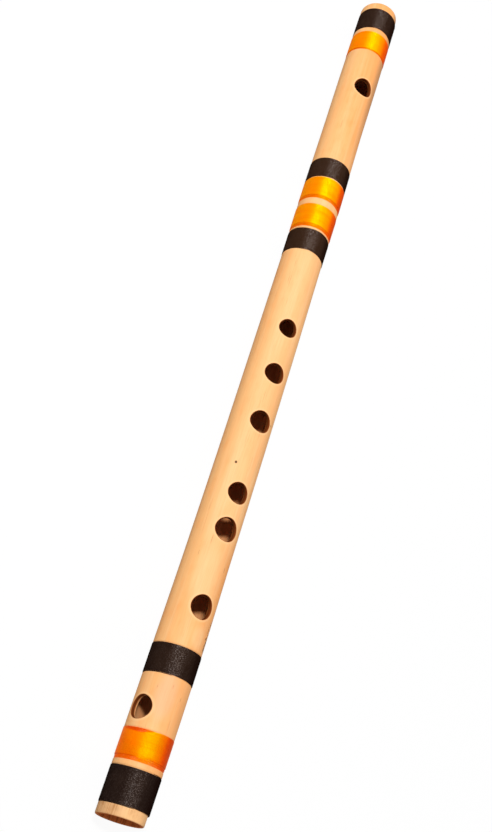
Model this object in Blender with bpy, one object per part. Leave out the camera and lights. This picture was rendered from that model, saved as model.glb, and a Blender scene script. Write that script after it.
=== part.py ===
# A bansuri, the side-blown bamboo flute: one bamboo tube with burnt holes, nine thread bindings wound
# round it against splitting, and a cork inside the head end that closes the bore above the blow hole.
# The flute lies along X, foot end at -X and head end at +X, finger holes up, resting on Z = 0.
# Lengths are in metres. A place is a distance along the flute, counted from its foot end.

import math

import bmesh
import bpy
import numpy as np

# Bamboo tube
LENGTH = 0.482
BAMBOO_RADIUS = 0.0110
WALL = 0.0022
# How much thicker or thinner the cane is than BAMBOO_RADIUS, at shares of its length from the foot.
CANE_SHARES = (0.0, 0.12, 0.31, 0.50, 0.68, 0.80, 0.89, 1.0)
CANE_SWELL = (-0.00015, 0.0, -0.00013, -0.00004, 0.00010, 0.00008, 0.00022, 0.00018)
BOW = 0.00135
BOW_PEAK_FACTOR = 6.75
RIM_FILING = 0.00025
CHAMFER = 0.0003
STATION_STEP = 0.030

# Bindings. PROUD is how far the thread stands out of the bamboo.
PROUD = 0.0003
CLEARANCE = 0.0003
CORE_THICKNESS = 0.0003
CORD_DIAMETER = 0.0011
CORD_PITCH = 0.0019
CORD_RISE = 0.0004
CORD_LEAD_IN = 0.0006

# Bare strip before each binding or hole, met from the foot end, and each binding's width
FOOT_RIM = 0.0042
BLACK_FOOT_WIDTH = 0.0153
FOOT_STRIP = 0.0025
ORANGE_FOOT_WIDTH = 0.0134
TUNING_HOLE_STRIP = 0.0027
LOWER_STRIP = 0.0100
BLACK_LOWER_WIDTH = 0.0134
LOWEST_FINGER_HOLE_STRIP = 0.0137

# Middle bindings. MIDDLE_SHARE is the share of the bare bamboo around them that lies on the foot side.
BLACK_MIDDLE_WIDTH = 0.0142
MIDDLE_STRIP = 0.0011
ORANGE_MIDDLE_WIDTH = 0.0158
UPPER_STRIP = 0.0037
ORANGE_UPPER_WIDTH = 0.01525
BLACK_UPPER_WIDTH = 0.01365
MIDDLE_SHARE = 0.459

# Bare strip before each binding or hole, met from the head end
HEAD_RIM = 0.0050
BLACK_HEAD_WIDTH = 0.0168
HEAD_STRIP = 0.0031
ORANGE_HEAD_WIDTH = 0.0154
BLOW_HOLE_STRIP = 0.0222

# Holes: size along the flute, size round it, and degrees from straight up towards +Y
TUNING_HOLE_SIZE = (0.0113, 0.0128)
TUNING_HOLE_TURN = 71.0
BLOW_HOLE_SIZE = (0.0127, 0.0114)
BLOW_HOLE_TURN = 3.0
# The six finger holes from the foot upwards, and the distance from each centre to the next
FINGER_HOLE_DIAMETERS = (0.0112, 0.0116, 0.0108, 0.0116, 0.0110, 0.0105)
FINGER_HOLE_SPACINGS = (0.0380, 0.0187, 0.0389, 0.0275, 0.0271)
FINGER_HOLE_TURNS = (-1.9, -1.5, -1.8, -1.1, 2.3, 4.2)

# Cork stopper
CORK_SETBACK = 0.0176
CORK_LENGTH = 0.0200
CORK_CHAMFER = 0.0006

# Facets round each piece
TUBE_SIDES = 40
CORD_SIDES = 24
HOLE_SIDES = 24
CORK_SIDES = 32

# Values that follow from the ones above
BORE_RADIUS = BAMBOO_RADIUS - WALL
SEAT_DEPTH = CORD_RISE + CORE_THICKNESS + CLEARANCE - PROUD
FLAT_DEPTH = 0.1 * CORD_DIAMETER
CORK_RADIUS = BORE_RADIUS * math.cos(math.pi / TUBE_SIDES) - CLEARANCE


def cane_radius(place):
    """Outer radius of the bare bamboo at a place."""
    return BAMBOO_RADIUS + np.interp(place / LENGTH, CANE_SHARES, CANE_SWELL)


def axis_height(place):
    """Height of the axis, which keeps the underside of every binding level."""
    return cane_radius(place) + PROUD - FLAT_DEPTH


def bow(place):
    """Sideways bow of the cane, greatest at a third of its length."""
    share = place / LENGTH
    return BOW * BOW_PEAK_FACTOR * share * (1 - share) ** 2


def bend(place, side, rise):
    """World points of a straight flute's points, given as arrays: along, sideways and above its axis."""
    x = place - LENGTH / 2
    y = side + BOW / 4 - bow(place)
    z = rise + axis_height(place)
    return np.stack([x, y, z], axis=-1)


def axis_point(place):
    return tuple(bend(np.float64(place), 0.0, 0.0))


def lay_out():
    """Places of every binding, as (start, end), and of every hole's centre."""
    bindings = {}
    holes = {}
    at = FOOT_RIM
    bindings["black_binding_foot"] = (at, at + BLACK_FOOT_WIDTH)
    at += BLACK_FOOT_WIDTH + FOOT_STRIP
    bindings["orange_binding_foot"] = (at, at + ORANGE_FOOT_WIDTH)
    at += ORANGE_FOOT_WIDTH + TUNING_HOLE_STRIP
    holes["tuning_hole"] = at + TUNING_HOLE_SIZE[0] / 2
    at += TUNING_HOLE_SIZE[0] + LOWER_STRIP
    bindings["black_binding_lower"] = (at, at + BLACK_LOWER_WIDTH)
    at += BLACK_LOWER_WIDTH + LOWEST_FINGER_HOLE_STRIP + FINGER_HOLE_DIAMETERS[0] / 2
    finger_holes = at + np.cumsum((0.0,) + FINGER_HOLE_SPACINGS)
    top_finger_edge = finger_holes[-1] + FINGER_HOLE_DIAMETERS[-1] / 2

    at = LENGTH - HEAD_RIM
    bindings["black_binding_head"] = (at - BLACK_HEAD_WIDTH, at)
    at -= BLACK_HEAD_WIDTH + HEAD_STRIP
    bindings["orange_binding_head"] = (at - ORANGE_HEAD_WIDTH, at)
    at -= ORANGE_HEAD_WIDTH + BLOW_HOLE_STRIP
    holes["blow_hole"] = at - BLOW_HOLE_SIZE[0] / 2
    blow_edge = at - BLOW_HOLE_SIZE[0]

    middle = (
        ("black_binding_middle", 0.0, BLACK_MIDDLE_WIDTH),
        ("orange_binding_middle", MIDDLE_STRIP, ORANGE_MIDDLE_WIDTH),
        ("orange_binding_upper", UPPER_STRIP, ORANGE_UPPER_WIDTH),
        ("black_binding_upper", CLEARANCE, BLACK_UPPER_WIDTH),
    )
    bare = blow_edge - top_finger_edge - sum(strip + width for _, strip, width in middle)
    at = top_finger_edge + MIDDLE_SHARE * bare
    for name, strip, width in middle:
        bindings[name] = (at + strip, at + strip + width)
        at += strip + width
    return bindings, holes, finger_holes


def material(name, colour, roughness):
    """A plain non-metal Principled material."""
    made = bpy.data.materials.new(name)
    made.use_nodes = True
    shader = made.node_tree.nodes["Principled BSDF"]
    shader.inputs["Base Color"].default_value = (*colour, 1.0)
    shader.inputs["Roughness"].default_value = roughness
    shader.inputs["Metallic"].default_value = 0.0
    made.diffuse_color = (*colour, 1.0)
    return made


def solid(name, vertices, faces, origin, finish, parent):
    """An object of one closed mesh, from world points, with its own origin point."""
    mesh = bpy.data.meshes.new(name)
    mesh.from_pydata((vertices - np.array(origin)).tolist(), [], faces)
    shape = bmesh.new()
    shape.from_mesh(mesh)
    bmesh.ops.remove_doubles(shape, verts=shape.verts, dist=1e-7)
    bmesh.ops.recalc_face_normals(shape, faces=shape.faces)
    shape.to_mesh(mesh)
    shape.free()
    mesh.shade_smooth()
    mesh.set_sharp_from_angle(angle=math.radians(40))
    mesh.materials.append(finish)
    made = bpy.data.objects.new(name, mesh)
    made.location = origin
    made.parent = parent
    bpy.context.collection.objects.link(made)
    return made


def cut(target, cutter, name):
    """Take a hidden cutter out of a piece."""
    cutter.hide_render = True
    cutter.display_type = "WIRE"
    modifier = target.modifiers.new(name, "BOOLEAN")
    modifier.operation = "DIFFERENCE"
    modifier.solver = "EXACT"
    modifier.object = cutter


def outer_profile(seats):
    """Places along the tube and depths below the bare bamboo there, from foot to head."""
    points = [(0.0, RIM_FILING + CHAMFER), (CHAMFER, RIM_FILING), (seats[0][0], RIM_FILING)]
    bare_ends = [start for start, _ in seats[1:]] + [LENGTH - CHAMFER]
    for (start, end), bare_end in zip(seats, bare_ends):
        points += [(start, SEAT_DEPTH), (end, SEAT_DEPTH), (end, 0.0)]
        steps = max(1, round((bare_end - end) / STATION_STEP))
        points += [(end + (bare_end - end) * step / steps, 0.0) for step in range(1, steps + 1)]
    points.append((LENGTH, CHAMFER))
    return np.array(points)


def make_tube(bindings, holes, finger_holes, finish, parent):
    """The bamboo: a turned wall with a shallow seat for each binding, bowed, then holed."""
    seats = []
    for start, end in sorted(bindings.values()):
        if seats and start - CLEARANCE <= seats[-1][1]:
            seats[-1][1] = end + CLEARANCE
        else:
            seats.append([start - CLEARANCE, end + CLEARANCE])
    outer = outer_profile(seats)
    outer_radius = cane_radius(outer[:, 0]) - outer[:, 1]
    stations = round(LENGTH / STATION_STEP)
    inner = np.linspace(LENGTH - CHAMFER, CHAMFER, stations)
    inner = np.concatenate([[LENGTH], inner, [0.0]])
    inner_radius = np.full(len(inner), BORE_RADIUS)
    inner_radius[[0, -1]] += CHAMFER
    place = np.concatenate([outer[:, 0], inner])[:, None]
    radius = np.concatenate([outer_radius, inner_radius])[:, None]
    angle = np.arange(TUBE_SIDES) * math.tau / TUBE_SIDES
    vertices = bend(place + 0 * angle, radius * np.sin(angle), radius * np.cos(angle))
    rows = len(place)
    faces = []
    for row in range(rows):
        below = row * TUBE_SIDES
        above = (row + 1) % rows * TUBE_SIDES
        for side in range(TUBE_SIDES):
            beside = (side + 1) % TUBE_SIDES
            faces.append((below + side, below + beside, above + beside, above + side))
    tube = solid("bamboo_tube", vertices.reshape(-1, 3), faces, (0, 0, 0), finish, parent)

    cut_hole(tube, "tuning_hole", holes["tuning_hole"], TUNING_HOLE_SIZE, TUNING_HOLE_TURN, parent)
    cut_hole(tube, "blow_hole", holes["blow_hole"], BLOW_HOLE_SIZE, BLOW_HOLE_TURN, parent)
    for number, place in enumerate(finger_holes):
        size = (FINGER_HOLE_DIAMETERS[number], FINGER_HOLE_DIAMETERS[number])
        cut_hole(tube, f"finger_hole_{number + 1}", place, size, FINGER_HOLE_TURNS[number], parent)


def cut_hole(tube, name, place, size, turn, parent):
    """An oval hole through one wall, square to the bamboo at its turn round the axis."""
    depth = 2 * BAMBOO_RADIUS
    shape = bmesh.new()
    bmesh.ops.create_cone(
        shape, cap_ends=True, segments=HOLE_SIDES, radius1=0.5, radius2=0.5, depth=depth
    )
    bmesh.ops.scale(shape, vec=(size[0], size[1], 1.0), verts=shape.verts)
    bmesh.ops.translate(shape, vec=(0, 0, depth / 2 + BORE_RADIUS / 4), verts=shape.verts)
    mesh = bpy.data.meshes.new(name)
    shape.to_mesh(mesh)
    shape.free()
    cutter = bpy.data.objects.new(name, mesh)
    cutter.location = axis_point(place)
    cutter.rotation_euler = (-math.radians(turn), 0, 0)
    cutter.parent = parent
    bpy.context.collection.objects.link(cutter)
    cut(tube, cutter, name)


def cord_rows(start, end):
    """Places and heights of a binding's outer face: crest rows between valley rows, which all
    climb one pitch for each turn and stop at the binding's two ends."""
    turns = math.ceil((end - start) / CORD_PITCH) + 2
    row = np.arange(2 * turns + 1)[:, None]
    column = np.arange(CORD_SIDES)[None, :]
    place = start + CORD_PITCH * (row / 2 + column / CORD_SIDES - 1)
    place = np.clip(place, start, end)
    lead = np.minimum(place - start, end - place) / CORD_LEAD_IN
    rise = np.where(row % 2 == 1, CORD_RISE * np.clip(lead, 0, 1), 0.0)
    return place, rise


def least_cord_gap(start, end):
    """Least gap between the cord and its own next turn, on the points of its crest."""
    place, rise = cord_rows(start, end)
    crest = (np.arange(len(place)) % 2 == 1)[:, None] & (rise > 0)
    angle = np.broadcast_to(np.arange(CORD_SIDES) * math.tau / CORD_SIDES, place.shape)
    turned = np.broadcast_to(np.arange(len(place))[:, None] // 2, place.shape) + angle / math.tau
    radius = cane_radius(place) + PROUD - CORD_DIAMETER / 2
    points = np.stack([place, radius * np.sin(angle), radius * np.cos(angle)], axis=-1)[crest]
    turned = turned[crest]
    apart = np.linalg.norm(points[:, None] - points[None], axis=-1)
    own_next = np.abs(turned[:, None] - turned[None]) > 0.5
    return apart[own_next].min() - CORD_DIAMETER


def make_binding(name, start, end, finish, parent, floor):
    """A thin sleeve of inner layers whose outer layer is one cord, wound from end to end."""
    place, rise = cord_rows(start, end)
    rows = len(place)
    angle = (np.arange(CORD_SIDES) + 0.5) * math.tau / CORD_SIDES
    to_corner = 1 / math.cos(math.pi / CORD_SIDES)
    core = cane_radius(place) + PROUD - CORD_RISE
    outer = bend(place, (core + rise) * to_corner * np.sin(angle), (core + rise) * to_corner * np.cos(angle))
    lining_place = np.array([[start], [end]]) + 0 * angle
    lining_radius = (cane_radius(lining_place) - SEAT_DEPTH + CLEARANCE) * to_corner
    lining = bend(lining_place, lining_radius * np.sin(angle), lining_radius * np.cos(angle))
    vertices = np.concatenate([outer.reshape(-1, 3), lining.reshape(-1, 3)])

    faces = []
    for row in range(rows - 1):
        here = row * CORD_SIDES
        after = here + CORD_SIDES
        for side in range(CORD_SIDES - 1):
            faces.append((here + side, here + side + 1, after + side + 1, after + side))
        if row + 3 < rows:
            last = CORD_SIDES - 1
            faces.append((here + last, here + 2 * CORD_SIDES, after + 2 * CORD_SIDES, after + last))
    first = 0
    final = (rows - 1) * CORD_SIDES
    lining_start = rows * CORD_SIDES
    lining_end = lining_start + CORD_SIDES
    for one, other in ((first, lining_start), (lining_start, lining_end), (lining_end, final)):
        for side in range(CORD_SIDES):
            beside = (side + 1) % CORD_SIDES
            faces.append((one + side, one + beside, other + beside, other + side))
    binding = solid(name, vertices, faces, axis_point((start + end) / 2), finish, parent)
    cut(binding, floor, "resting_flat")


def make_floor_cutter(parent):
    """The flat that the flute rests on, which takes a tenth of the cord off underneath."""
    shape = bmesh.new()
    bmesh.ops.create_cube(shape, size=1.0)
    height = BAMBOO_RADIUS
    bmesh.ops.scale(shape, vec=(1.2 * LENGTH, 4 * BAMBOO_RADIUS, height), verts=shape.verts)
    bmesh.ops.translate(shape, vec=(0, 0, -height / 2), verts=shape.verts)
    mesh = bpy.data.meshes.new("resting_plane")
    shape.to_mesh(mesh)
    shape.free()
    cutter = bpy.data.objects.new("resting_plane", mesh)
    cutter.parent = parent
    bpy.context.collection.objects.link(cutter)
    return cutter


def make_cork(place, finish, parent):
    """A cork cylinder with eased ends, whose own axis is the bore's."""
    shape = bmesh.new()
    bmesh.ops.create_cone(
        shape,
        cap_ends=True,
        segments=CORK_SIDES,
        radius1=CORK_RADIUS,
        radius2=CORK_RADIUS,
        depth=CORK_LENGTH,
    )
    mesh = bpy.data.meshes.new("cork_stopper")
    shape.to_mesh(mesh)
    shape.free()
    mesh.shade_smooth()
    mesh.set_sharp_from_angle(angle=math.radians(40))
    mesh.materials.append(finish)
    cork = bpy.data.objects.new("cork_stopper", mesh)
    cork.location = axis_point(place)
    cork.rotation_euler = (0, math.radians(90), 0)
    cork.parent = parent
    bpy.context.collection.objects.link(cork)
    eased = cork.modifiers.new("eased_ends", "BEVEL")
    eased.width = CORK_CHAMFER
    eased.segments = 1
    eased.limit_method = "ANGLE"
    eased.angle_limit = math.radians(60)


def main():
    for old in list(bpy.data.objects):
        bpy.data.objects.remove(old, do_unlink=True)

    flute = bpy.data.objects.new("bansuri", None)
    bpy.context.collection.objects.link(flute)
    bamboo = material("bamboo", (0.86, 0.57, 0.27), 0.42)
    black_thread = material("black_thread", (0.022, 0.014, 0.012), 0.75)
    orange_thread = material("orange_thread", (0.95, 0.27, 0.004), 0.45)
    cork = material("cork", (0.45, 0.27, 0.13), 0.85)

    bindings, holes, finger_holes = lay_out()
    make_tube(bindings, holes, finger_holes, bamboo, flute)
    floor = make_floor_cutter(flute)
    for name, (start, end) in bindings.items():
        thread = black_thread if name.startswith("black") else orange_thread
        make_binding(name, start, end, thread, flute, floor)
        gap = 1000 * least_cord_gap(start, end)
        print(f"{name}: least gap of the cord to itself {gap:.2f} mm")
    make_cork(holes["blow_hole"] + CORK_SETBACK + CORK_LENGTH / 2, cork, flute)


main()
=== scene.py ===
import math

import bmesh
import bpy
import numpy as np
from mathutils import Matrix, Vector


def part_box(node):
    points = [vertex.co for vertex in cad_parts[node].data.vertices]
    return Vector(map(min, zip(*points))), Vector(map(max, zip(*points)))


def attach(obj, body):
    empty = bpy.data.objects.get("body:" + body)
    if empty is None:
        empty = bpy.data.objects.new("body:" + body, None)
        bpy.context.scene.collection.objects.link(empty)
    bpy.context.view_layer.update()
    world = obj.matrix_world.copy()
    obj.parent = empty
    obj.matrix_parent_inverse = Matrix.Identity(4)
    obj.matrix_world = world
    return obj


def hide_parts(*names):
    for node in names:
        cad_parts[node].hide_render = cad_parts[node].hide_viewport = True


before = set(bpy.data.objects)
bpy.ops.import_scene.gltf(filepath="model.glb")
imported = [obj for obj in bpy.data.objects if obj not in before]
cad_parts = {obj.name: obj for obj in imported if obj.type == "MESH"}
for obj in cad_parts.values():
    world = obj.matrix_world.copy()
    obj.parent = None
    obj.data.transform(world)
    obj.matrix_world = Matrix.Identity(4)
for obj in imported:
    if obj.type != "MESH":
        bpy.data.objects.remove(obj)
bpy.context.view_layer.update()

# The cane. One length of thin-walled bamboo, sawn off at both ends, scraped and rubbed smooth. It
# bows to one side and swells a little towards the head. The bindings lie in shallow scraped seats, and
# the holes are burnt through the wall with a hot iron, which leaves their lips round and dark.
tube_low, tube_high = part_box("bamboo_tube")
LENGTH = tube_high.x - tube_low.x
CANE_RADIUS = 0.0110
BORE_RADIUS = 0.0088
SWELL_SHARES = (0.0, 0.10, 0.16, 0.24, 0.50, 0.60, 0.69, 0.80, 0.88, 1.0)
SWELL = (
    -0.00015, 0.00010, 0.00014, -0.00004, 0.00002,
    -0.00002, 0.00028, 0.00012, 0.00032, 0.00022,
)
BOW = 0.00135
# How far a binding stands above the bare cane.
PROUD = 0.00019


def cane_radius(place):
    """Radius of the bare cane at a place, a distance from its foot end: the nominal radius plus a
    swell, read in straight lines between ten shares of the length."""
    return CANE_RADIUS + np.interp(place / LENGTH, SWELL_SHARES, SWELL)


def bend(place, side, rise):
    """World points from distances along, beside and above the axis. The axis shifts sideways by 6.75
    times u (1 - u)^2 times the bow, where u is the share of the length. Its height is the cane's
    radius plus what a binding stands proud underneath, so that all bindings touch height 0."""
    share = place / LENGTH
    x = place + tube_low.x
    y = side + BOW / 4 - 6.75 * BOW * share * (1 - share) ** 2
    z = rise + cane_radius(place) + PROUD
    return np.stack(np.broadcast_arrays(x, y, z), axis=-1)


def span(node):
    """Where a node starts and ends along the flute, as distances from the foot end."""
    low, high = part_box(node)
    return low.x - tube_low.x, high.x - tube_low.x


bindings = {name: span(name) for name in sorted(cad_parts) if "binding" in name}

# How much wider these bindings are than their cords in the CAD, at the foot side and the head side.
WIDER = {
    "black_binding_foot": (0.00000, 0.00045),
    "orange_binding_foot": (0.00000, 0.00025),
    "black_binding_lower": (0.00020, 0.00030),
    "black_binding_middle": (0.00000, 0.00025),
    "black_binding_upper": (0.00020, 0.00012),
    "black_binding_head": (0.00015, 0.00010),
}
for name, (foot_side, head_side) in WIDER.items():
    start, end = bindings[name]
    bindings[name] = (start - foot_side, end + head_side)

# A seat's depth, the length of the slope at its ends, and the share of that slope outside the binding.
SEAT = 0.00020
SEAT_SLOPE = 0.00017
SEAT_SPARE = 0.7
# Each rim's filing: evenly all round, more towards one side, and that side's degrees from straight up.
# It starts a little under the binding and reaches its depth over a short slope.
FOOT_FILED = (0.00030, 0.00020, -66)
HEAD_FILED = (0.00016, 0.00020, -60)
FILED_UNDER = 0.0003
FILED_SLOPE = 0.0004
FACET = 0.000015


def outer_radius(place, angle):
    """Radius of the outside: the cane's radius, less each binding's seat, which falls in a straight
    slope at its ends, less the filing of the two rims, a cosine that is deepest at one side, plus
    faint lengthwise facets from the scraper, a sum of two slowly twisting cosines."""
    radius = cane_radius(place) + 0 * angle
    for start, end in bindings.values():
        into = np.minimum(place - start, end - place) / SEAT_SLOPE + SEAT_SPARE
        radius = radius - SEAT * np.clip(into, 0, 1)
    foot_rim = bindings["black_binding_foot"][0] - place
    head_rim = place - bindings["black_binding_head"][1]
    for rim, (evenly, more, side) in ((foot_rim, FOOT_FILED), (head_rim, HEAD_FILED)):
        filed = np.clip((rim + FILED_UNDER) / FILED_SLOPE, 0, 1)
        radius = radius - filed * (evenly + more * np.cos(angle - math.radians(side)))
    turn = 9 * place / LENGTH
    return radius + FACET * (np.cos(7 * angle + turn) + np.cos(11 * angle - 2 * turn))


# Holes from foot to head: place, size along and round the cane, degrees from straight up towards +Y.
# The last two say how far one side of the lip is drawn out, as a share, and which way it points.
HOLES = (
    (0.04395, 0.01040, 0.01075, 66.0, 0.00, 0),
    (0.09225, 0.01110, 0.01050, -1.8, 0.00, -150),
    (0.13030, 0.01140, 0.01110, -1.4, 0.00, -140),
    (0.14915, 0.01040, 0.01030, -1.8, 0.02, -145),
    (0.18805, 0.01110, 0.01100, -1.6, 0.00, -135),
    (0.21555, 0.01060, 0.01045, 1.6, 0.00, -140),
    (0.24260, 0.00990, 0.00975, 3.4, 0.00, -130),
    (0.41315, 0.01190, 0.01095, 3.0, 0.04, -140),
)
# The lips: how narrow the drawn-out bell is, and the radii of the rounding outside and in the bore.
LIP_BELL = 5
LIP = 0.00024
INNER_LIP = 0.00020
# The window round each hole that the skin's grid leaves free, and the grid's steps and sides.
WINDOW_MARGIN = 0.0019
WINDOW_TURN = math.radians(52.5)
FINE_STEP = 0.0008
COARSE_STEP = 0.0020
SIDES = 96
# The rows at each end of a binding, as distances outwards from it.
SEAT_ROWS = (0.00032, 0.00012, -0.00005)
# The sawn ends: how far their edges are rounded, and how much longer the foot is underneath.
FOOT_EASE = 0.00045
HEAD_EASE = 0.00055
FOOT_SLANT = 0.00050
# The distance to a burnt lip that stands for none near by.
FAR = 0.010
# A quarter round in three steps: the shares of its radius left to go across, and gone down.
QUARTER = np.radians([30, 60, 90])[:, None]
ACROSS = 1 - np.sin(QUARTER)
DOWN = 1 - np.cos(QUARTER)


class Skin:
    """Grids of points, with what the finish needs to know of each, and the faces that join them."""

    def __init__(self):
        self.rows = []
        self.faces = []
        self.count = 0

    def grid(self, place, angle, radius, edge, depth, sawn):
        """Adds points given round the axis and returns their numbers. Edge is the distance from the
        nearest burnt lip, negative inside. Depth is 0 outside and 1 in the bore. Sawn is 1 on an end."""
        facts = np.broadcast_arrays(
            place, radius * np.sin(angle), radius * np.cos(angle), edge, depth, sawn
        )
        numbers = self.count + np.arange(facts[0].size).reshape(facts[0].shape)
        self.rows.append(np.stack(facts, axis=-1).reshape(-1, 6))
        self.count += numbers.size
        return numbers

    def join(self, numbers, kept=None):
        """Adds the faces between neighbouring rows, closed round the columns."""
        closed = np.concatenate([numbers, numbers[:, :1]], axis=1)
        corners = (closed[:-1, :-1], closed[:-1, 1:], closed[1:, 1:], closed[1:, :-1])
        faces = np.stack(corners, axis=-1)
        if kept is not None:
            faces = faces[kept]
        self.faces.append(faces.reshape(-1, 4))


def cane_rows():
    """Places of the rows of points: the ends, the edges of every seat and hole window, and steps
    between them that are finer inside the windows."""
    marks = [FOOT_EASE, LENGTH - HEAD_EASE]
    for start, end in bindings.values():
        marks += [start - outwards for outwards in SEAT_ROWS]
        marks += [end + outwards for outwards in SEAT_ROWS]
    windows = [
        (place - size / 2 - WINDOW_MARGIN, place + size / 2 + WINDOW_MARGIN)
        for place, size, *_ in HOLES
    ]
    marks = sorted(marks + [edge for window in windows for edge in window])
    rows = []
    for low, high in zip(marks[:-1], marks[1:]):
        inside = any(first < (low + high) / 2 < last for first, last in windows)
        step = FINE_STEP if inside else COARSE_STEP
        rows.append(np.linspace(low, high, max(1, math.ceil((high - low) / step)), endpoint=False))
    return np.concatenate(rows + [[marks[-1]]]), windows


def lip_outline(along, around, heading, drawn, towards):
    """Distance from a hole's centre to its lip in each heading: an ellipse's radius, which grows by
    the drawn-out share in a bell round one heading."""
    oval = 1 / np.hypot(np.cos(heading) * 2 / along, np.sin(heading) * 2 / around)
    return oval * (1 + drawn * np.exp(LIP_BELL * (np.cos(heading - math.radians(towards)) - 1)))


def burn_hole(skin, hole, window, places, outer, inner, kept):
    """Fills a hole's window with rings that run from the window's edge to the lip, over it, down the
    straight wall and out to the same window of the bore. A ring is an array of points, and a point
    at distance w beside the hole's own axis lies at its turn plus asin(w / radius)."""
    place, along, around, turn, drawn, towards = hole
    turn = math.radians(turn)
    first, last = (int(np.argmin(np.abs(places - edge))) for edge in window)
    middle = round(turn / math.tau * SIDES)
    reach = round(WINDOW_TURN / math.tau * SIDES)
    left, right = middle - reach, middle + reach
    kept[first:last, np.arange(left, right) % SIDES] = False
    row = np.concatenate([
        np.full(right - left, first), np.arange(first, last),
        np.full(right - left, last), np.arange(last, first, -1),
    ])
    column = np.concatenate([
        np.arange(left, right), np.full(last - first, right),
        np.arange(right, left, -1), np.full(last - first, left),
    ])
    angle = column * math.tau / SIDES
    away = places[row] - place
    outer_away = CANE_RADIUS * np.sin(angle - turn)
    inner_away = BORE_RADIUS * np.sin(angle - turn)
    heading = np.arctan2(outer_away / np.abs(outer_away).max(), away / np.abs(away).max())
    lip = lip_outline(along, around, heading, drawn, towards)
    lip_away = lip * np.cos(heading)
    lip_beside = lip * np.sin(heading)

    def ring(to_window, offset, window_beside, level, drop):
        """Rings at a share of the way from the lip to the window, offset outwards from the lip, on
        the outside (level 0) or in the bore (level 1), and that far into the wall."""
        grow = (lip + offset) / lip
        ring_away = lip_away * grow + (away - lip_away * grow) * to_window
        beside = lip_beside * grow + (window_beside - lip_beside * grow) * to_window
        at = place + ring_away
        rough_radius = (1 - level) * cane_radius(at) + level * BORE_RADIUS
        angle_at = turn + np.arcsin(beside / rough_radius)
        surface = (1 - level) * outer_radius(at, angle_at) + level * BORE_RADIUS
        gap = np.hypot(ring_away - lip_away, beside - lip_beside)
        wall = CANE_RADIUS - BORE_RADIUS
        edge = np.where(level < 0.5, gap - drop, -wall - gap)
        into = (cane_radius(at) - surface + drop) / wall
        return at, angle_at, surface - drop, edge, into

    skin_shares = np.array([0.75, 0.55, 0.37, 0.22, 0.12, 0.05, 0.0])[:, None]
    bore_shares = np.array([0.15, 0.40, 0.70])[:, None]
    wall_shares = np.array([0.33, 0.66, 1.00])[:, None]
    wall_height = CANE_RADIUS - BORE_RADIUS - LIP - INNER_LIP
    parts = (
        ring(skin_shares, LIP, outer_away, 0.0, 0.0),
        ring(0.0, LIP * ACROSS, outer_away, 0.0, LIP * DOWN),
        ring(0.0, 0.0, outer_away, 0.0, LIP + wall_height * wall_shares),
        ring(0.0, INNER_LIP * DOWN, inner_away, 1.0, -INNER_LIP * ACROSS),
        ring(bore_shares, INNER_LIP, inner_away, 1.0, 0.0),
    )
    rings = [skin.grid(*part, 0.0) for part in parts]
    columns = column % SIDES
    skin.join(np.concatenate([outer[None, row, columns], *rings, inner[None, row, columns]]))


def close_end(skin, at, inwards, ease, place, outer, inner):
    """Joins the outside to the bore over one sawn end: a quarter round, the flat ring, and a quarter
    round of half its radius into the bore."""
    angle = np.arange(SIDES) * math.tau / SIDES
    outside = outer_radius(place, angle)
    round_place = at + inwards * ease * ACROSS
    rounded = outside - ease * DOWN
    rim = rounded[-1:]
    shares = np.array([0.25, 0.50, 0.75, 1.00])[:, None]
    flat = rim + (BORE_RADIUS + ease / 2 - rim) * shares
    inner_place = at + inwards * ease / 2 * DOWN
    inner_round = BORE_RADIUS + ease / 2 * ACROSS
    more_sawn = np.array([0.1, 0.5, 1.0])[:, None]
    less_sawn = np.array([1.0, 0.6, 0.2])[:, None]
    numbers = [
        skin.grid(round_place, angle, rounded, FAR, 0.0, more_sawn),
        skin.grid(at, angle, flat, FAR, 0.4, 1.0),
        skin.grid(inner_place, angle, inner_round, FAR, 1.0, less_sawn),
    ]
    skin.join(np.concatenate([outer[None], *numbers, inner[None]]))


def build(name, points, faces, facts):
    """A mesh object from arrays of points, four-sided faces and named facts of each point, a fact
    being one number or three. Points that no face uses go, poles merge, and faces turn outwards."""
    mesh = bpy.data.meshes.new(name)
    mesh.vertices.add(len(points))
    mesh.vertices.foreach_set("co", points.astype(np.float32).ravel())
    mesh.loops.add(faces.size)
    mesh.loops.foreach_set("vertex_index", faces.astype(np.int32).ravel())
    mesh.polygons.add(len(faces))
    mesh.polygons.foreach_set("loop_start", np.arange(0, faces.size, 4, dtype=np.int32))
    mesh.update(calc_edges=True)
    for fact, values in facts.items():
        vector = values.ndim == 2
        made = mesh.attributes.new(fact, "FLOAT_VECTOR" if vector else "FLOAT", "POINT")
        made.data.foreach_set("vector" if vector else "value", values.astype(np.float32).ravel())
    shape = bmesh.new()
    shape.from_mesh(mesh)
    loose = [corner for corner in shape.verts if not corner.link_faces]
    bmesh.ops.delete(shape, geom=loose, context="VERTS")
    bmesh.ops.remove_doubles(shape, verts=shape.verts, dist=1e-7)
    bmesh.ops.recalc_face_normals(shape, faces=shape.faces)
    shape.to_mesh(mesh)
    shape.free()
    mesh.shade_smooth()
    made = bpy.data.objects.new(name, mesh)
    bpy.context.collection.objects.link(made)
    return made


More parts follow.
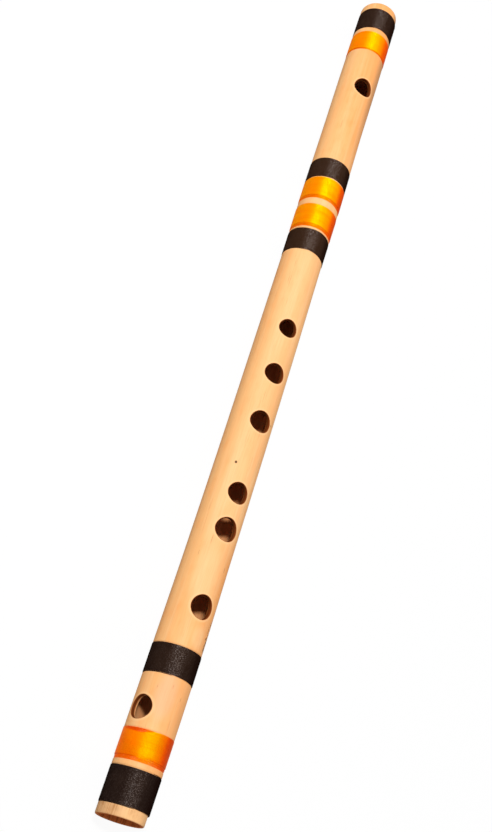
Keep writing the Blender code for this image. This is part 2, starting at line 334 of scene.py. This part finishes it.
def make_cane():
    """The cane's closed skin: the outside and the bore as grids of rows and sides, the windows of
    the eight holes cut out of both and filled, and the two sawn ends. The foot is sawn a little
    out of square: its cut is longer by the slant times (1 - cosine of the angle) / 2."""
    skin = Skin()
    places, windows = cane_rows()
    angle = np.arange(SIDES) * math.tau / SIDES
    column = places[:, None]
    outer = skin.grid(column, angle, outer_radius(column, angle), FAR, 0.0, 0.0)
    inner = skin.grid(column, angle, BORE_RADIUS, -FAR, 1.0, 0.0)
    kept = np.ones((len(places) - 1, SIDES), bool)
    for hole, window in zip(HOLES, windows):
        burn_hole(skin, hole, window, places, outer, inner, kept)
    skin.join(outer, kept)
    skin.join(inner, kept)
    foot_cut = -FOOT_SLANT * (1 - np.cos(angle)) / 2
    close_end(skin, foot_cut, 1, FOOT_EASE, places[0], outer[0], inner[0])
    close_end(skin, LENGTH, -1, HEAD_EASE, places[-1], outer[-1], inner[-1])
    rows = np.concatenate(skin.rows)
    facts = {"cane": rows[:, :3], "edge": rows[:, 3], "depth": rows[:, 4], "sawn": rows[:, 5]}
    return build("cane", bend(*rows[:, :3].T), np.concatenate(skin.faces), facts)


class Wire:
    """A socket of a finish's nodes. Arithmetic on it adds Math nodes, and node() adds any other."""

    def __init__(self, tree, socket=None):
        self.tree = tree
        self.socket = socket

    def node(self, kind, settings, inputs, output=0):
        """Adds a node, sets its settings, then its sockets' values or links, and gives an output."""
        made = self.tree.nodes.new("ShaderNode" + kind)
        for name, value in settings.items():
            setattr(made, name, value)
        for name, value in inputs.items():
            if isinstance(value, Wire):
                self.tree.links.new(value.socket, made.inputs[name])
            else:
                made.inputs[name].default_value = value
        return Wire(self.tree, made.outputs[output])

    def math(self, operation, *values):
        """One Math node on values and wires."""
        return self.node("Math", {"operation": operation}, dict(enumerate(values)))

    def __add__(self, other):
        return self.math("ADD", self, other)

    def __radd__(self, other):
        return self.math("ADD", other, self)

    def __sub__(self, other):
        return self.math("SUBTRACT", self, other)

    def __rsub__(self, other):
        return self.math("SUBTRACT", other, self)

    def __mul__(self, other):
        return self.math("MULTIPLY", self, other)

    def __rmul__(self, other):
        return self.math("MULTIPLY", other, self)

    def step(self, low, high):
        """0 below low, 1 above high and a smooth rise between them. High may be the lower number."""
        settings = {"interpolation_type": "SMOOTHSTEP"}
        inputs = {"Value": self, "From Min": low, "From Max": high}
        if high < low:
            inputs.update({"From Min": high, "From Max": low, "To Min": 1.0, "To Max": 0.0})
        return self.node("MapRange", settings, inputs)

    def blend(self, one, other):
        """Colour one where this is 0 and colour other where it is 1."""
        return self.node("Mix", {"data_type": "RGBA"}, {0: self, 6: one, 7: other}, 2)

    def fact(self, name, output="Fac"):
        """What the mesh says of each of its points under a name, as a number or as a vector."""
        return self.node("Attribute", {"attribute_name": name}, {}, output)

    def part(self, axis):
        """One of this vector's three numbers."""
        return self.node("SeparateXYZ", {}, {0: self}, axis)

    def bump(self, strength, distance):
        """The normal of a surface with this height, in shares of a distance."""
        return self.node("Bump", {}, {"Strength": strength, "Distance": distance, "Height": self})

    def noise(self, stretch, detail=2.0):
        """Noise on this vector, with that many waves to the metre in each direction."""
        scaled = self.node("VectorMath", {"operation": "MULTIPLY"}, {0: self, 1: stretch})
        return self.node("TexNoise", {}, {"Vector": scaled, "Scale": 1.0, "Detail": detail})

    def spot(self, centre, size, soft=0.5):
        """1 at a centre and 0 past an ellipsoid of that half size, for one mark at a known place."""
        moved = self.node("VectorMath", {"operation": "SUBTRACT"}, {0: self, 1: centre})
        scaled = self.node("VectorMath", {"operation": "DIVIDE"}, {0: moved, 1: size})
        length = self.node("VectorMath", {"operation": "LENGTH"}, {0: scaled}, "Value")
        return length.step(1.0, soft)


def new_finish(name):
    """A material, the start of its nodes, and its Principled shader."""
    made = bpy.data.materials.new(name)
    made.use_nodes = True
    return made, Wire(made.node_tree), made.node_tree.nodes["Principled BSDF"]


def feed(shader, inputs):
    """Sets the shader's sockets to values or links them to wires."""
    for name, value in inputs.items():
        if isinstance(value, Wire):
            value.tree.links.new(value.socket, shader.inputs[name])
        else:
            shader.inputs[name].default_value = value


# Linear colours of the cane: its scraped skin and the redder, paler and rosier tones in it, the redder
# one also painted shade down one side, its dark fibres and specks, a darker skin for painted shade at
# the head and a darker foot rim, its bore and a darker bore, the wood and grain of its sawn ends, and
# burnt wood.
SKIN = (0.98, 0.510, 0.200, 1)
WARM_SKIN = (1.00, 0.425, 0.140, 1)
PALE_SKIN = (1.00, 0.630, 0.310, 1)
ROSY_SKIN = (1.00, 0.500, 0.300, 1)
FIBRE = (0.50, 0.215, 0.070, 1)
SPECK = (0.105, 0.042, 0.011, 1)
DARK_SKIN = (0.52, 0.265, 0.120, 1)
BORE = (0.72, 0.350, 0.150, 1)
DARK_BORE = (0.46, 0.140, 0.034, 1)
SAWN = (0.92, 0.265, 0.070, 1)
GRAIN = (0.34, 0.075, 0.020, 1)
SCORCH = (0.42, 0.095, 0.012, 1)
CHAR = (0.150, 0.022, 0.0025, 1)
DEEP_CHAR = (0.045, 0.009, 0.002, 1)

# Patches of the skin, each a centre and a half size off the straight axis: two that the sun has
# bleached, a rosy one, and one of frayed dark fibres beside the lower black binding.
SUNNED_STRETCH = ((0.106, 0.0022, 0.0105), (0.022, 0.0085, 0.0085))
SUNNED_PATCH = ((0.079, -0.0028, 0.0107), (0.0070, 0.0042, 0.0042))
ROSY_PATCH = ((0.051, 0.0032, 0.0105), (0.0140, 0.0068, 0.0068))
FRAYED_PATCH = ((0.0815, -0.0088, 0.0066), (0.0110, 0.0026, 0.0026))

# Marks on the skin: place, degrees from straight up towards +Y, half length, half width, strength.
MARKS = (
    (0.1632, 29.2, 0.00095, 0.00080, 0.95),
    (0.1895, -33.0, 0.00035, 0.00260, 0.65),
    (0.0027, 46.0, 0.00140, 0.00260, 0.32),
    (0.0024, 36.5, 0.00110, 0.00130, 0.25),
    (0.0030, 24.0, 0.00230, 0.00020, 0.50),
    (0.0028, 12.0, 0.00180, 0.00018, 0.30),
    (0.0030, 1.0, 0.00230, 0.00020, 0.40),
    (0.0030, -7.0, 0.00200, 0.00020, 0.35),
    (0.1233, 27.0, 0.00290, 0.00022, 0.35),
    (0.1125, -31.7, 0.00190, 0.00030, 0.40),
    (0.3812, 33.5, 0.00400, 0.00025, 0.25),
    (0.1157, 47.5, 0.00180, 0.00025, 0.25),
    (0.0534, 39.8, 0.00120, 0.00030, 0.20),
    (0.0553, 6.4, 0.00130, 0.00030, 0.20),
    (0.0515, -22.0, 0.00120, 0.00030, 0.25),
)


def skin_colour(cane, along, side, broad):
    """Scraped skin: warmer in soft areas and near the blow hole, and down one side as painted shade,
    paler in broad fibres and where the sun has bleached it, rosy in one patch, and darkened by painted
    shade on the head's shaded side."""
    areas = cane.noise((38, 110, 110), 3.0)
    mottled = cane.noise((170, 260, 260), 3.0)
    warm = areas.step(0.42, 0.72) * 0.45 + mottled.step(0.46, 0.72) * 0.35
    # Painted shade: warmer, with less green and blue, down the -Y side.
    warm = warm + side.step(0.0030, -0.0055) * 0.75
    warm = warm + along.step(0.365, 0.390) * side.step(0.0085, 0.0030) * 0.60
    sunned = along.step(0.108, 0.135) * along.step(0.375, 0.335) * side.step(0.0105, 0.0070) * 0.40
    sunned = sunned + cane.spot(*SUNNED_STRETCH, 0.3) * 0.55
    sunned = sunned + cane.spot(*SUNNED_PATCH, 0.4) * 0.50
    # Painted shade: darker skin on the head's shaded side.
    shaded = along.step(0.355, 0.420) * side.step(-0.0030, -0.0078) * 0.70
    colour = warm.blend(SKIN, WARM_SKIN)
    colour = (broad.step(0.40, 0.75) * 0.35 + sunned).blend(colour, PALE_SKIN)
    colour = (cane.spot(*ROSY_PATCH, 0.4) * 0.45).blend(colour, ROSY_SKIN)
    return shaded.blend(colour, DARK_SKIN)


def add_marks(colour, cane, fine, threads):
    """Dark marks over the skin: fine fibres and thin fibre ends, the marks at their own places, and
    the frayed patch, which is the product of two noises."""
    colour = (threads * 0.40 + fine.step(0.35, 0.85) * 0.16).blend(colour, FIBRE)
    for place, turn, long, wide, strength in MARKS:
        radius = float(cane_radius(place))
        across = math.radians(turn)
        centre = (place, radius * math.sin(across), radius * math.cos(across))
        colour = (cane.spot(centre, (long, wide, wide)) * strength).blend(colour, SPECK)
    frayed = cane.noise((520, 1100, 1100), 2.0).step(0.46, 0.56)
    frayed = frayed * cane.noise((300, 300, 300)).step(0.32, 0.46)
    return (cane.spot(*FRAYED_PATCH, 0.5) * frayed * 0.90).blend(colour, SPECK)


def add_foot_rim(colour, cane, along, side):
    """The bare rim beyond the first binding: paler than the rest, darker towards the tuning hole's
    side, and more ticked and smeared there, by one noise drawn out along the cane and one blotchy."""
    rim_end = bindings["black_binding_foot"][0]
    rim = along.step(rim_end + 0.0004, rim_end + 0.0001)
    ticks = cane.noise((45, 2300, 2300), 2.0).step(0.47, 0.66)
    ticks = ticks * cane.noise((90, 130, 130)).step(0.30, 0.60)
    smear = cane.noise((330, 240, 240), 3.0).step(0.50, 0.68)
    dirty = rim * (ticks * 0.70 + smear * 0.45) * (0.4 + side.step(-0.002, 0.007) * 0.7)
    colour = (rim * 0.60).blend(colour, PALE_SKIN)
    colour = (rim * (0.05 + side.step(0.0010, 0.0085) * 0.42)).blend(colour, DARK_SKIN)
    return dirty.blend(colour, FIBRE)


def add_inside(colour, cane, along, depth, sawn):
    """The bore, stained in patches and darker from the blow hole on, and the sawn ends with their pores,
    whose colour also covers the first few millimetres of the bore at the foot."""
    stained = cane.noise((90, 260, 260), 3.0).step(0.36, 0.60)
    bore = (stained * 0.5 + along.step(0.395, 0.412) * 0.4).blend(BORE, DARK_BORE)
    pores = cane.noise((70, 1500, 1500), 3.0).step(0.42, 0.62)
    cut = (pores * 0.60).blend(SAWN, GRAIN)
    bore = along.step(0.0050, 0.0020).blend(bore, cut)
    colour = depth.step(0.90, 1.0).blend(colour, bore)
    return sawn.step(0.15, 0.9).blend(colour, cut)


def add_char(colour, along, ragged, depth):
    """Scorched wood round each lip and charred wood inside it, darker with depth. Both end before the
    bore, and at the tuning hole sooner, where the wall counts as that much deeper."""
    into = depth + along.step(0.062, 0.055) * 0.18
    scorched = ragged.step(0.00034, 0.00006) * into.step(1.0, 0.92) * 0.90
    charred = ragged.step(0.00012, -0.00008) * into.step(0.86, 0.74) * 0.86
    colour = scorched.blend(colour, SCORCH)
    return charred.blend(colour, into.step(0.15, 0.70).blend(CHAR, DEEP_CHAR))


def cane_finish():
    """Scraped bamboo: fibres drawn out along the cane in three widths, and one colour laid over the
    other, from the skin to the char. A pale ring surrounds each ragged burnt lip. The outside is
    rubbed to a thin satin coat, and the fibres stand out from it by a few hundredths of a millimetre."""
    made, start, shader = new_finish("bamboo")
    cane = start.fact("cane", "Vector")
    depth = start.fact("depth")
    along = cane.part("X")
    side = cane.part("Y")
    fine = cane.noise((110, 2600, 2600), 3.0)
    broad = cane.noise((14, 420, 420), 2.0)
    threads = cane.noise((90, 3000, 3000), 1.0).step(0.62, 0.72)
    threads = threads * cane.noise((25, 200, 200)).step(0.50, 0.66)
    ragged = start.fact("edge") + (fine - 0.5) * 0.00022
    colour = skin_colour(cane, along, side, broad)
    colour = add_marks(colour, cane, fine, threads)
    colour = add_foot_rim(colour, cane, along, side)
    colour = (ragged.step(0.0015, 0.0007) * 0.45).blend(colour, PALE_SKIN)
    colour = add_inside(colour, cane, along, depth, start.fact("sawn"))
    colour = add_char(colour, along, ragged, depth)
    height = fine * 0.7 + broad * 0.3 - threads * 0.5
    rubbed = depth.step(0.10, 0.0) * 0.16 + fine * 0.04
    feed(shader, {
        "Base Color": colour, "Roughness": 0.9, "Normal": height.bump(0.12, 0.00006),
        "Specular IOR Level": 0.0, "Coat Weight": rubbed, "Coat Roughness": 0.45,
    })
    return made


cane = make_cane()
cane.data.materials.append(cane_finish())
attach(cane, "flute")
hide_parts("bamboo_tube")


# The cork. It is cut from bark, rubbed to size and pushed in from the head end, where it shuts the
# bore just above the blow hole. Its sides show the bark's long dark pores.
CORK_SIDES = 72
CORK_EASE = 0.0008
CORK_GAP = 0.00018
# The pits: how many, their least and greatest size, how drawn out along the cork, and how deep.
CORK_PITS = 70
PIT_SIZES = (0.0003, 0.0009)
PIT_STRETCH = 2.2
PIT_DEPTH = 0.00022
# Linear colours of the cork: its lighter and darker bark, the joints of its grains, and its pits.
BARK = (0.50, 0.270, 0.125, 1)
DARK_BARK = (0.30, 0.140, 0.060, 1)
BARK_JOINT = (0.16, 0.070, 0.030, 1)
BARK_PIT = (0.070, 0.028, 0.014, 1)


def make_cork():
    """A barrel turned from a profile that runs from the middle of one face over two quarter rounds
    to the middle of the other. Each pit lowers the surface by a bell of the distance to its middle,
    drawn out along the cork, and less towards the middle of a face."""
    start, end = span("cork_stopper")
    radius = BORE_RADIUS - CORK_GAP
    quarter = np.radians(np.linspace(0, 90, 6))
    face = np.linspace(0, radius - CORK_EASE, 9)[:-1]
    near_round = radius - CORK_EASE * (1 - np.sin(quarter))
    length = np.linspace(start + CORK_EASE, end - CORK_EASE, 42)[1:-1]
    place = np.concatenate([
        np.full(len(face), start), start + CORK_EASE * (1 - np.cos(quarter)), length,
        end - CORK_EASE * (1 - np.cos(quarter[::-1])), np.full(len(face), end),
    ])
    out = np.concatenate([
        face, near_round, np.full(len(length), radius), near_round[::-1], face[::-1],
    ])
    angle = np.arange(CORK_SIDES) * math.tau / CORK_SIDES
    chance = np.random.default_rng(5)
    pit_place = chance.uniform(start, end, CORK_PITS)
    pit_angle = chance.uniform(0, math.tau, CORK_PITS)
    pit_size = chance.uniform(*PIT_SIZES, CORK_PITS)
    along = (place[:, None, None] - pit_place) / (PIT_STRETCH * pit_size)
    turned = np.mod(angle[None, :, None] - pit_angle + math.pi, math.tau) - math.pi
    bells = np.exp(-(along ** 2) - (turned * radius / pit_size) ** 2)
    dents = np.minimum(bells.sum(axis=-1), 1.0)
    sunk = out[:, None] - PIT_DEPTH * dents * (out[:, None] / radius) ** 4
    numbers = np.arange(sunk.size).reshape(sunk.shape)
    skin = Skin()
    skin.join(numbers)
    place = place[:, None] + 0 * angle
    bark = np.stack([place, sunk * np.sin(angle), sunk * np.cos(angle)], axis=-1).reshape(-1, 3)
    facts = {"bark": bark, "pit": dents.ravel()}
    return build("cork", bend(*bark.T), skin.faces[0], facts)


def cork_finish():
    """Cork: warm brown grains of one to two millimetres with darker joints, and dark pits."""
    made, start, shader = new_finish("cork")
    bark = start.fact("bark", "Vector")
    grains = start.node("TexVoronoi", {}, {"Vector": bark, "Scale": 900.0})
    tone = bark.noise((250, 700, 700), 3.0)
    colour = tone.step(0.3, 0.75).blend(BARK, DARK_BARK)
    colour = (grains.step(0.45, 0.75) * 0.35).blend(colour, BARK_JOINT)
    colour = (start.fact("pit") * 0.8).blend(colour, BARK_PIT)
    uneven = (tone - grains).bump(0.4, 0.0002)
    feed(shader, {"Base Color": colour, "Roughness": 0.85, "Normal": uneven})
    return made


cork = make_cork()
cork.data.materials.append(cork_finish())
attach(cork, "cork")
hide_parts("cork_stopper")


# The bindings. Each is one thread wound tightly round the cane and tucked under its own last turn, to
# keep the bamboo from splitting. The black is a dull twisted cotton in one layer, the orange a finer
# glossy thread that goes down the cane and comes back over itself, a little short of its first end.
TURN_POINTS = 60
# Each thread's thickness, the points round its section, and the length in which its strands turn once.
BLACK_THREAD = 0.00045
BLACK_POINTS = 8
BLACK_TWIST = 0.0011
ORANGE_THREAD = 0.00030
ORANGE_POINTS = 6
ORANGE_TWIST = 0.0008
# How deep the lower layer lies, in thicknesses, as the outer one nests between its turns.
NESTED = 0.87
# How far the thread wanders, how unevenly deep it lies, and the points over which that is smoothed.
WANDER = 0.00005
UNEVEN = 0.00001
UNEVEN_POINTS = 9
# The thread's ends: the turns in which it thins to nothing and in which it dives, and how deep, in
# thicknesses. The outer layer's first turns look half like the lower one's.
THINNING_TURNS = 0.12
DIVING_TURNS = 0.5
DIVE = 0.7
MIXED_TURNS = 1.6
# The turns in which the orange thread climbs from the lower layer to the outer one.
CLIMBING_TURNS = 0.6


def wind(name, thickness, keys, section, dent):
    """A thread wound along keys of (turns, place, layer), layer 1 being the outer one. Its centre
    runs round the cane at the cane's radius, plus what it stands proud, less half its thickness and
    less what it nests in the layer beneath. A point of its round section lies at sine and cosine of
    its own angle from that centre. It wanders a little, thins to nothing and dives at both ends.
    The outer layer's last turns are pushed back by a bell round one angle, of a given width and
    depth, times the cube of the share of that layer's turns."""
    turns, places, layers = np.array(keys).T
    turn = np.linspace(0, turns[-1], math.ceil(turns[-1] * TURN_POINTS) + 1)[:, None]
    place = np.interp(turn, turns, places)
    layer = np.interp(turn, turns, layers)
    angle = turn * math.tau
    wander = np.sin(angle + 0.09 * turn) + 0.6 * np.sin(2 * angle - 0.13 * turn + 1.0)
    place = place + WANDER * wander
    dent_angle, dent_width, dent_depth = dent
    reach = np.interp(turn, turns[-2:], (0, 1)) ** 3 * (layer >= 1)
    place = place - dent_depth * reach * np.exp((np.cos(angle - dent_angle) - 1) / dent_width)
    from_end = np.minimum(turn, turns[-1] - turn)
    thick = thickness / 2 * np.sqrt(np.clip(from_end / THINNING_TURNS, 0, 1))
    chance = np.random.default_rng(len(turn))
    smoothing = np.ones(UNEVEN_POINTS) / UNEVEN_POINTS
    uneven = np.convolve(chance.normal(size=len(turn)), smoothing, mode="same")[:, None]
    diving = np.clip(1 - from_end / DIVING_TURNS, 0, 1)
    centre = cane_radius(place) + PROUD - thickness / 2 - NESTED * thickness * (1 - layer)
    centre = centre - DIVE * thickness * diving - UNEVEN * np.abs(uneven)
    bead = np.arange(section) * math.tau / section
    along = place + thick * np.sin(bead)
    out = centre + thick * np.cos(bead)
    straight = np.stack([along, out * np.sin(angle), out * np.cos(angle)], axis=-1).reshape(-1, 3)
    skin = Skin()
    skin.join(np.arange(along.size).reshape(along.shape))
    length = angle * CANE_RADIUS
    strand = np.stack(np.broadcast_arrays(length, np.sin(bead), np.cos(bead)), axis=-1)
    mixed = np.clip(1 - (turn - turns[-2]) / MIXED_TURNS, 0, 1)
    layer = layer - 0.5 * (layer >= 1) * mixed
    facts = {
        "strand": strand.reshape(-1, 3), "cane": straight, "layer": (layer + 0 * along).ravel(),
    }
    return build(name, bend(*straight.T), skin.faces[0], facts)


def aged(along):
    """How much sun and hands have aged a binding at a place: most at the middle of the flute, half as
    much at the head and hardly at all at the foot."""
    return along.step(-0.02, 0.20) * (1 - along.step(0.32, 0.46) * 0.5)


def twist(strand, pitch):
    """Height of a two-strand twist: the sine of the length in turns of the pitch plus the angle
    round the thread, by the sum rule from the angle's own sine and cosine."""
    phase = strand.part("X") * (math.tau / pitch)
    across = phase.math("SINE", phase) * strand.part("Z")
    return across + phase.math("COSINE", phase) * strand.part("Y")


# Linear colours of the black thread: fresh, worn and painted highlight, browned with age, its lint and
# painted glints, and its shaded side.
BLACK = (0.0200, 0.0105, 0.0078, 1)
WORN_AND_HIGHLIGHT_BLACK = (0.0420, 0.0245, 0.0180, 1)
AGED_BLACK = (0.0850, 0.0340, 0.0120, 1)
LINT_AND_GLINT = (0.240, 0.180, 0.155, 1)
SHADED_BLACK = (0.0120, 0.0030, 0.0020, 1)


def black_finish():
    """Dull black cotton: a two-strand twist, lighter where worn, brownish where aged and darker on its
    shaded side. Hands have rubbed it shiny along the top, where a lighter colour is a painted highlight,
    and pale lint specks crowd there as painted glints."""
    made, start, shader = new_finish("black_thread")
    cane = start.fact("cane", "Vector")
    side = cane.part("Y")
    old = aged(cane.part("X"))
    fluff = cane.noise((2500, 2500, 2500), 3.0)
    glint = fluff.step(0.50, 0.66)
    worn = cane.noise((160, 260, 260), 3.0).step(0.40, 0.75)
    # Along the top: a glossier coat, and in the colour a painted highlight.
    rubbed = side.step(0.0078, 0.0040) * side.step(-0.0018, 0.0024)
    colour = (worn * 0.35 + rubbed * 0.45).blend(BLACK, WORN_AND_HIGHLIGHT_BLACK)
    colour = (old * 0.34).blend(colour, AGED_BLACK)
    # Lint specks everywhere, and many more along the top as painted glints, more so where aged.
    colour = (glint * (0.09 + rubbed * (0.44 + old * 0.50))).blend(colour, LINT_AND_GLINT)
    colour = (side.step(-0.0025, -0.0072) * 0.65).blend(colour, SHADED_BLACK)
    height = twist(start.fact("strand", "Vector"), BLACK_TWIST) * 0.3 + fluff * 2.5
    feed(shader, {
        "Base Color": colour, "Roughness": 0.8, "Normal": height.bump(0.5, 0.00004),
        "Specular IOR Level": 0.0, "Coat Weight": rubbed * (0.05 + glint * 0.50),
        "Coat Roughness": 0.30,
    })
    return made


# Linear colours of the orange thread: little and much aged, the same two as a painted highlight along
# the top, its peak, painted shade down one side, single turns, painted shade on slipped turns and on the
# lower layer, deep shade, and its sheen.
ORANGE = (1.0, 0.240, 0.0, 1)
AGED_ORANGE = (1.0, 0.355, 0.0, 1)
PAINTED_HIGHLIGHT_ORANGE = (1.0, 0.400, 0.0, 1)
AGED_PAINTED_HIGHLIGHT_ORANGE = (1.0, 0.540, 0.0, 1)
HIGHLIGHT_PEAK_ORANGE = (1.0, 0.700, 0.0, 1)
SHADE_RED_ORANGE = (0.86, 0.085, 0.0, 1)
TURN_ORANGE = (1.0, 0.155, 0.0, 1)
SLIPPED_SHADE_ORANGE = (0.84, 0.060, 0.0, 1)
LOWER_SHADE_ORANGE = (0.85, 0.100, 0.0, 1)
SHADED_ORANGE = (0.50, 0.045, 0.0, 1)
SHEEN = (1.0, 0.55, 0.0, 1)
# The centre and half size of the slipped turns in the binding at the foot.
SLIPPED_TURNS = ((0.0348, 0.0090, 0.0063), (0.0014, 0.0085, 0.0085))


def orange_finish():
    """Glossy orange thread, whose shine keeps its own colour. A yellower strip along the top is a
    painted highlight, brightest at its peak and more so where the thread is aged, and painted shade
    makes it more red down the shaded side. The dye varies from turn to turn, and painted shade deepens
    it where turns have slipped and in the lower layer."""
    made, start, shader = new_finish("orange_thread")
    cane = start.fact("cane", "Vector")
    side = cane.part("Y")
    old = aged(cane.part("X"))
    layer = start.fact("layer")
    dye = cane.noise((350, 130, 130), 3.0).step(0.35, 0.75)
    turns = cane.noise((1600, 50, 50), 2.0).step(0.45, 0.70)
    # Painted shade: more red down the shaded side.
    redder = side.step(-0.0015, -0.0065) * old + side.step(0.0010, -0.0060) * (1 - old)
    # Painted highlight: a yellower strip along the top, and its peak.
    painted_highlight = side.step(0.0092, 0.0050) * side.step(-0.0055, 0.0012)
    highlight_peak = side.step(0.0046, 0.0024) * side.step(-0.0012, 0.0010)
    # Painted shade: the lower layer, and the outer layer's first turns at the step, are deeper in
    # colour.
    lower = layer.step(0.9, 0.2) * 0.60 + layer.step(0.25, 0.45) * layer.step(0.95, 0.6) * 0.4
    colour = redder.blend(old.blend(ORANGE, AGED_ORANGE), SHADE_RED_ORANGE)
    colour = (painted_highlight * 0.9).blend(colour, old.blend(PAINTED_HIGHLIGHT_ORANGE, AGED_PAINTED_HIGHLIGHT_ORANGE))
    colour = (highlight_peak * 0.42).blend(colour, HIGHLIGHT_PEAK_ORANGE)
    colour = (dye * 0.28 + turns * 0.30).blend(colour, TURN_ORANGE)
    # Painted shade where the slipped turns show the lower layer.
    colour = (cane.spot(*SLIPPED_TURNS, 0.5) * 0.75).blend(colour, SLIPPED_SHADE_ORANGE)
    colour = (side.step(-0.0040, -0.0085) * 0.45).blend(colour, SHADED_ORANGE)
    colour = lower.blend(colour, LOWER_SHADE_ORANGE)
    uneven = cane.noise((900, 700, 700), 2.0)
    height = twist(start.fact("strand", "Vector"), ORANGE_TWIST) + uneven * 3.0
    feed(shader, {
        "Base Color": colour, "Roughness": 0.36, "Metallic": 0.5,
        "Normal": height.bump(0.4, 0.00003), "Specular IOR Level": 0.05, "Specular Tint": SHEEN,
    })
    return made


# Each orange binding's shelf, where only the lower layer shows, and the angle, width and depth of the
# dent where its last turns are pushed back. A black one has neither.
SHELVES = {
    "orange_binding_foot": (0.0019, math.radians(48), 0.12, 0.0019),
    "orange_binding_middle": (0.0022, math.radians(20), 0.50, 0.0003),
    "orange_binding_upper": (0.0021, math.radians(10), 0.50, 0.0001),
    "orange_binding_head": (0.0009, math.radians(60), 0.50, 0.0002),
}
NO_DENT = (0.0, 1.0, 0.0)
black = black_finish()
orange = orange_finish()
for name, (start, end) in bindings.items():
    if name in SHELVES:
        half = ORANGE_THREAD / 2
        shelf, *dent = SHELVES[name]
        under_turns = (end - start) / ORANGE_THREAD
        over_turns = (end - start - shelf) / ORANGE_THREAD
        keys = (
            (0.0, end - half, 0.0),
            (under_turns, start + half, 0.0),
            (under_turns + CLIMBING_TURNS, start + shelf, 1.0),
            (under_turns + CLIMBING_TURNS + over_turns, end - half, 1.0),
        )
        binding = wind(name + "_thread", ORANGE_THREAD, keys, ORANGE_POINTS, dent)
        binding.data.materials.append(orange)
    else:
        half = BLACK_THREAD / 2
        keys = ((0.0, start + half, 1.0), ((end - start) / BLACK_THREAD, end - half, 1.0))
        binding = wind(name + "_thread", BLACK_THREAD, keys, BLACK_POINTS, NO_DENT)
        binding.data.materials.append(black)
    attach(binding, "flute")
    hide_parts(name)


# The floor. A plain white table that runs past the picture's edges. The camera sees it as pure white
# with a faint shadow where the flute lies, and the sky behind it is the same white.
FLOOR_HALF = 2.5
# The share of white paint that the camera sees, and the distances at which it starts to fade and ends.
SHADOW = 0.06
SHADOW_NEAR = 0.35
SHADOW_FAR = 0.80
WHITE_PAINT = (0.93, 0.93, 0.93, 1)
GREY_PAINT = (0.35, 0.35, 0.35, 1)
WHITE_LIGHT = (1, 1, 1, 1)


def make_floor():
    """One square of floor at height 0, where the bindings touch it."""
    mesh = bpy.data.meshes.new("floor")
    edge = FLOOR_HALF
    corners = [(-edge, -edge, 0), (edge, -edge, 0), (edge, edge, 0), (-edge, edge, 0)]
    mesh.from_pydata(corners, [], [(0, 1, 2, 3)])
    made = bpy.data.objects.new("floor", mesh)
    bpy.context.collection.objects.link(made)
    return made


def seen_directly(start):
    """1 for rays from the camera, and for what gloss and glass show."""
    kinds = ("Camera", "Glossy", "Transmission")
    rays = [start.node("LightPath", {}, {}, f"Is {kind} Ray") for kind in kinds]
    return start.math("MAXIMUM", rays[0], start.math("MAXIMUM", rays[1], rays[2]))


def floor_finish():
    """Paint that throws little light back at the flute. The camera sees it as white light, but for a
    share of white paint that keeps the shadow and fades out away from the flute."""
    made, start, shader = new_finish("floor")
    seen = seen_directly(start)
    place = start.node("TexCoord", {}, {}, "Object")
    reach = place.node("VectorMath", {"operation": "LENGTH"}, {0: place}, "Value")
    shadow = reach.step(SHADOW_FAR, SHADOW_NEAR) * SHADOW
    paint = seen.blend(GREY_PAINT, WHITE_PAINT)
    feed(shader, {"Base Color": paint, "Roughness": 0.9, "Specular IOR Level": 0.0})
    white = start.node("Emission", {}, {"Color": WHITE_LIGHT, "Strength": 1.0})
    matte = Wire(made.node_tree, shader.outputs[0])
    mixed = start.node("MixShader", {}, {0: seen * (1 - shadow), 1: matte, 2: white})
    output = made.node_tree.nodes["Material Output"]
    made.node_tree.links.new(mixed.socket, output.inputs["Surface"])
    return made


floor = make_floor()
floor.data.materials.append(floor_finish())

# The light. One lamp above the flute, a little to the tuning hole's side and narrow along the flute, a
# wide weak one low on the other side, and an even pale sky. The first reaches the floor of the bore
# through the holes seen most steeply.
SKY = 0.31
LAMP_ALONG = 0.14
LAMP_DISTANCE = 1.5
# Each lamp's turn from straight up towards +Y, size and power.
LAMPS = {
    "softbox": (22, (0.17, 0.26), 19.8),
    "panel": (-68, (0.80, 0.80), 2.6),
}

world = bpy.data.worlds.new("studio")
bpy.context.scene.world = world
world.use_nodes = True
sky = Wire(world.node_tree)
seen = seen_directly(sky)
background = world.node_tree.nodes["Background"]
background.inputs["Color"].default_value = WHITE_LIGHT
world.node_tree.links.new((seen * (1 - SKY) + SKY).socket, background.inputs["Strength"])

for name, (turn, size, watts) in LAMPS.items():
    turn = math.radians(turn)
    lamp_data = bpy.data.lights.new(name, "AREA")
    lamp_data.shape = "RECTANGLE"
    lamp_data.size, lamp_data.size_y = size
    lamp_data.energy = watts
    lamp = bpy.data.objects.new(name, lamp_data)
    lamp.location = (LAMP_ALONG, LAMP_DISTANCE * math.sin(turn), LAMP_DISTANCE * math.cos(turn))
    lamp.rotation_euler = (-turn, 0, 0)
    bpy.context.collection.objects.link(lamp)

# The camera. It looks down at the flute from beyond the foot end, so that the foot is nearest, and is
# rolled until the flute runs from the lower left to the upper right.
CAMERA_PLACE = Vector((-0.2869, 0.1904, 0.4341))
CAMERA_AIM = Vector((-0.0484, 0.0025, 0.0113))
CAMERA_ROLL = math.radians(62.09)
CAMERA_LENS = 46.21

camera_data = bpy.data.cameras.new("camera")
camera_data.lens = CAMERA_LENS
camera_data.sensor_width = 36.0
camera = bpy.data.objects.new("camera", camera_data)
level = (CAMERA_AIM - CAMERA_PLACE).to_track_quat("-Z", "Y").to_matrix().to_4x4()
camera.matrix_world = Matrix.Translation(CAMERA_PLACE) @ level @ Matrix.Rotation(CAMERA_ROLL, 4, "Z")
bpy.context.collection.objects.link(camera)
bpy.context.scene.camera = camera
bpy.context.scene.view_settings.view_transform = "Standard"
